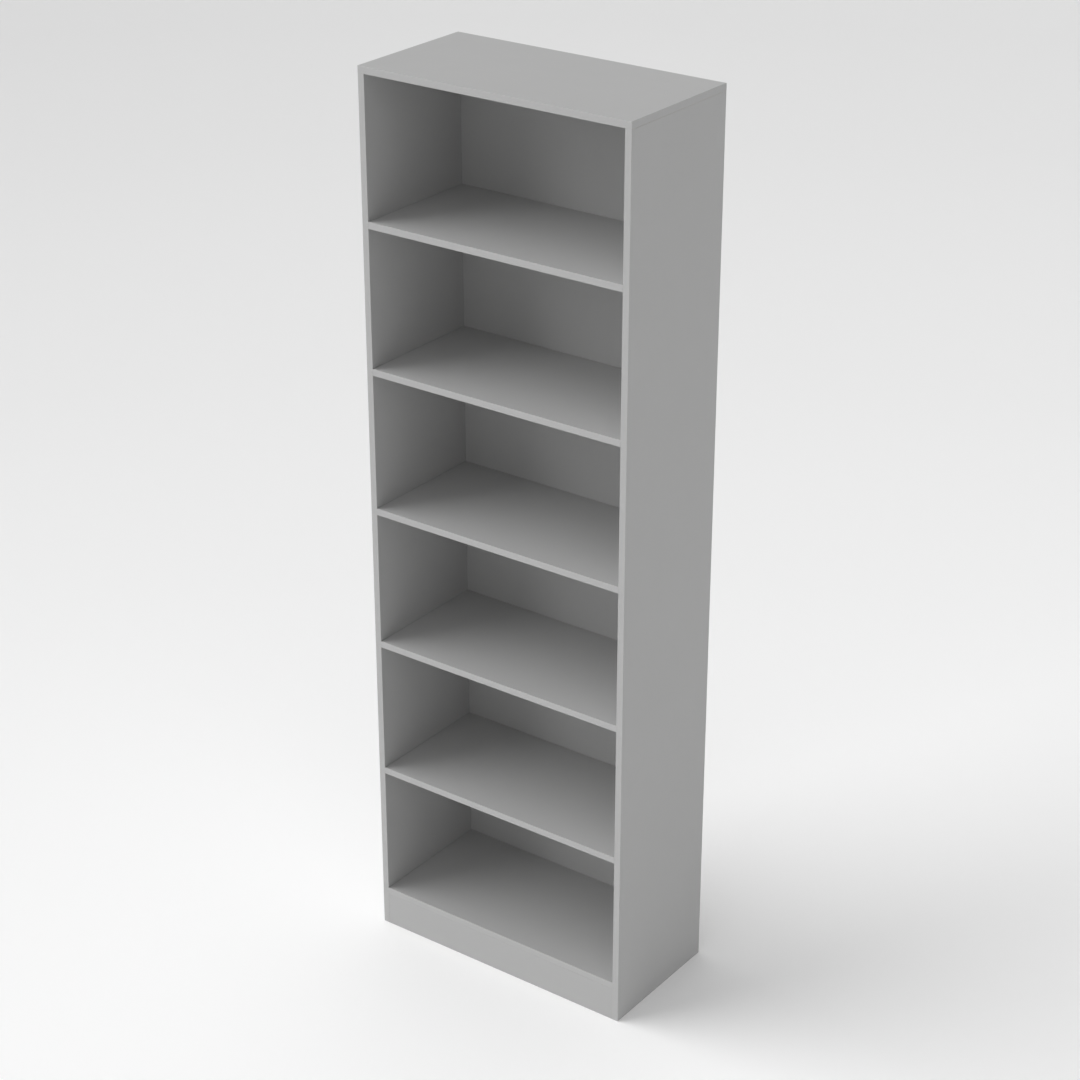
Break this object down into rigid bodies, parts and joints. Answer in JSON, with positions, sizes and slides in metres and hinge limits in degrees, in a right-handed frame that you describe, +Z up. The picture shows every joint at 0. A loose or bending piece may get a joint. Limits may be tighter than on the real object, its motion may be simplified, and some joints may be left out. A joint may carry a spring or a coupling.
{
  "type": "bookcase with adjustable shelves",
  "caption": "Tall open bookcase of thin grey boards on a plinth, with one fixed shelf, adjustable shelves on pins, and a back panel in grooves.",
  "frame": {"origin": "on the floor, under the middle of the case", "axes": "+X to the right seen from the front, +Y from the open front to the back panel, +Z up"},
  "size_m": [0.65, 0.32, 2],
  "materials": {
    "case_board": "satin",
    "shelf_board": "satin",
    "back_board": "matte",
    "pin_nickel": "satin",
    "cam_zinc": "satin",
    "bolt_steel": "satin",
    "dowel_beech": "matte"
  },
  "bodies": {
    "case": {"side_panel_left": "case_board", "side_panel_right": "case_board", "top_panel": "case_board", "bottom_panel": "case_board", "plinth_board": "case_board", "back_panel": "back_board", "fixed_shelf": "case_board", "cam_lock_top_front_left": "cam_zinc", "cam_lock_top_rear_left": "cam_zinc", "cam_lock_fixed_front_left": "cam_zinc", "cam_lock_fixed_rear_left": "cam_zinc", "cam_lock_bottom_front_left": "cam_zinc", "cam_lock_bottom_rear_left": "cam_zinc", "cam_lock_top_front_right": "cam_zinc", "cam_lock_top_rear_right": "cam_zinc", "cam_lock_fixed_front_right": "cam_zinc", "cam_lock_fixed_rear_right": "cam_zinc", "cam_lock_bottom_front_right": "cam_zinc", "cam_lock_bottom_rear_right": "cam_zinc", "cam_bolt_top_front_left": "bolt_steel", "cam_bolt_top_rear_left": "bolt_steel", "cam_bolt_fixed_front_left": "bolt_steel", "cam_bolt_fixed_rear_left": "bolt_steel", "cam_bolt_bottom_front_left": "bolt_steel", "cam_bolt_bottom_rear_left": "bolt_steel", "cam_bolt_top_front_right": "bolt_steel", "cam_bolt_top_rear_right": "bolt_steel", "cam_bolt_fixed_front_right": "bolt_steel", "cam_bolt_fixed_rear_right": "bolt_steel", "cam_bolt_bottom_front_right": "bolt_steel", "cam_bolt_bottom_rear_right": "bolt_steel", "dowel_top_left": "dowel_beech", "dowel_fixed_left": "dowel_beech", "dowel_bottom_left": "dowel_beech", "dowel_plinth_left": "dowel_beech", "dowel_top_right": "dowel_beech", "dowel_fixed_right": "dowel_beech", "dowel_bottom_right": "dowel_beech", "dowel_plinth_right": "dowel_beech", "dowel_plinth_middle": "dowel_beech"},
    "shelf_1": {"adjustable_shelf_1": "shelf_board"},
    "shelf_2": {"adjustable_shelf_2": "shelf_board"},
    "shelf_3": {"adjustable_shelf_3": "shelf_board"},
    "shelf_4": {"adjustable_shelf_4": "shelf_board"},
    "pin_1_front_left": {"shelf_pin_1_front_left": "pin_nickel"},
    "pin_1_front_right": {"shelf_pin_1_front_right": "pin_nickel"},
    "pin_1_rear_left": {"shelf_pin_1_rear_left": "pin_nickel"},
    "pin_1_rear_right": {"shelf_pin_1_rear_right": "pin_nickel"},
    "pin_2_front_left": {"shelf_pin_2_front_left": "pin_nickel"},
    "pin_2_front_right": {"shelf_pin_2_front_right": "pin_nickel"},
    "pin_2_rear_left": {"shelf_pin_2_rear_left": "pin_nickel"},
    "pin_2_rear_right": {"shelf_pin_2_rear_right": "pin_nickel"},
    "pin_3_front_left": {"shelf_pin_3_front_left": "pin_nickel"},
    "pin_3_front_right": {"shelf_pin_3_front_right": "pin_nickel"},
    "pin_3_rear_left": {"shelf_pin_3_rear_left": "pin_nickel"},
    "pin_3_rear_right": {"shelf_pin_3_rear_right": "pin_nickel"},
    "pin_4_front_left": {"shelf_pin_4_front_left": "pin_nickel"},
    "pin_4_front_right": {"shelf_pin_4_front_right": "pin_nickel"},
    "pin_4_rear_left": {"shelf_pin_4_rear_left": "pin_nickel"},
    "pin_4_rear_right": {"shelf_pin_4_rear_right": "pin_nickel"}
  },
  "joints": [
    {"name": "shelf_1_draw_out", "type": "slide", "parent": "case", "child": "shelf_1", "axis": [0, -1, 0], "range_m": [0, 0.33]},
    {"name": "shelf_2_draw_out", "type": "slide", "parent": "case", "child": "shelf_2", "axis": [0, -1, 0], "range_m": [0, 0.33]},
    {"name": "shelf_3_draw_out", "type": "slide", "parent": "case", "child": "shelf_3", "axis": [0, -1, 0], "range_m": [0, 0.33]},
    {"name": "shelf_4_draw_out", "type": "slide", "parent": "case", "child": "shelf_4", "axis": [0, -1, 0], "range_m": [0, 0.33]},
    {"name": "pin_1_front_left_pull_out", "type": "slide", "parent": "case", "child": "pin_1_front_left", "axis": [1, 0, 0], "range_m": [0, 0.01]},
    {"name": "pin_1_front_right_pull_out", "type": "slide", "parent": "case", "child": "pin_1_front_right", "axis": [-1, 0, 0], "range_m": [0, 0.01]},
    {"name": "pin_1_rear_left_pull_out", "type": "slide", "parent": "case", "child": "pin_1_rear_left", "axis": [1, 0, 0], "range_m": [0, 0.01]},
    {"name": "pin_1_rear_right_pull_out", "type": "slide", "parent": "case", "child": "pin_1_rear_right", "axis": [-1, 0, 0], "range_m": [0, 0.01]},
    {"name": "pin_2_front_left_pull_out", "type": "slide", "parent": "case", "child": "pin_2_front_left", "axis": [1, 0, 0], "range_m": [0, 0.01]},
    {"name": "pin_2_front_right_pull_out", "type": "slide", "parent": "case", "child": "pin_2_front_right", "axis": [-1, 0, 0], "range_m": [0, 0.01]},
    {"name": "pin_2_rear_left_pull_out", "type": "slide", "parent": "case", "child": "pin_2_rear_left", "axis": [1, 0, 0], "range_m": [0, 0.01]},
    {"name": "pin_2_rear_right_pull_out", "type": "slide", "parent": "case", "child": "pin_2_rear_right", "axis": [-1, 0, 0], "range_m": [0, 0.01]},
    {"name": "pin_3_front_left_pull_out", "type": "slide", "parent": "case", "child": "pin_3_front_left", "axis": [1, 0, 0], "range_m": [0, 0.01]},
    {"name": "pin_3_front_right_pull_out", "type": "slide", "parent": "case", "child": "pin_3_front_right", "axis": [-1, 0, 0], "range_m": [0, 0.01]},
    {"name": "pin_3_rear_left_pull_out", "type": "slide", "parent": "case", "child": "pin_3_rear_left", "axis": [1, 0, 0], "range_m": [0, 0.01]},
    {"name": "pin_3_rear_right_pull_out", "type": "slide", "parent": "case", "child": "pin_3_rear_right", "axis": [-1, 0, 0], "range_m": [0, 0.01]},
    {"name": "pin_4_front_left_pull_out", "type": "slide", "parent": "case", "child": "pin_4_front_left", "axis": [1, 0, 0], "range_m": [0, 0.01]},
    {"name": "pin_4_front_right_pull_out", "type": "slide", "parent": "case", "child": "pin_4_front_right", "axis": [-1, 0, 0], "range_m": [0, 0.01]},
    {"name": "pin_4_rear_left_pull_out", "type": "slide", "parent": "case", "child": "pin_4_rear_left", "axis": [1, 0, 0], "range_m": [0, 0.01]},
    {"name": "pin_4_rear_right_pull_out", "type": "slide", "parent": "case", "child": "pin_4_rear_right", "axis": [-1, 0, 0], "range_m": [0, 0.01]}
  ]
}
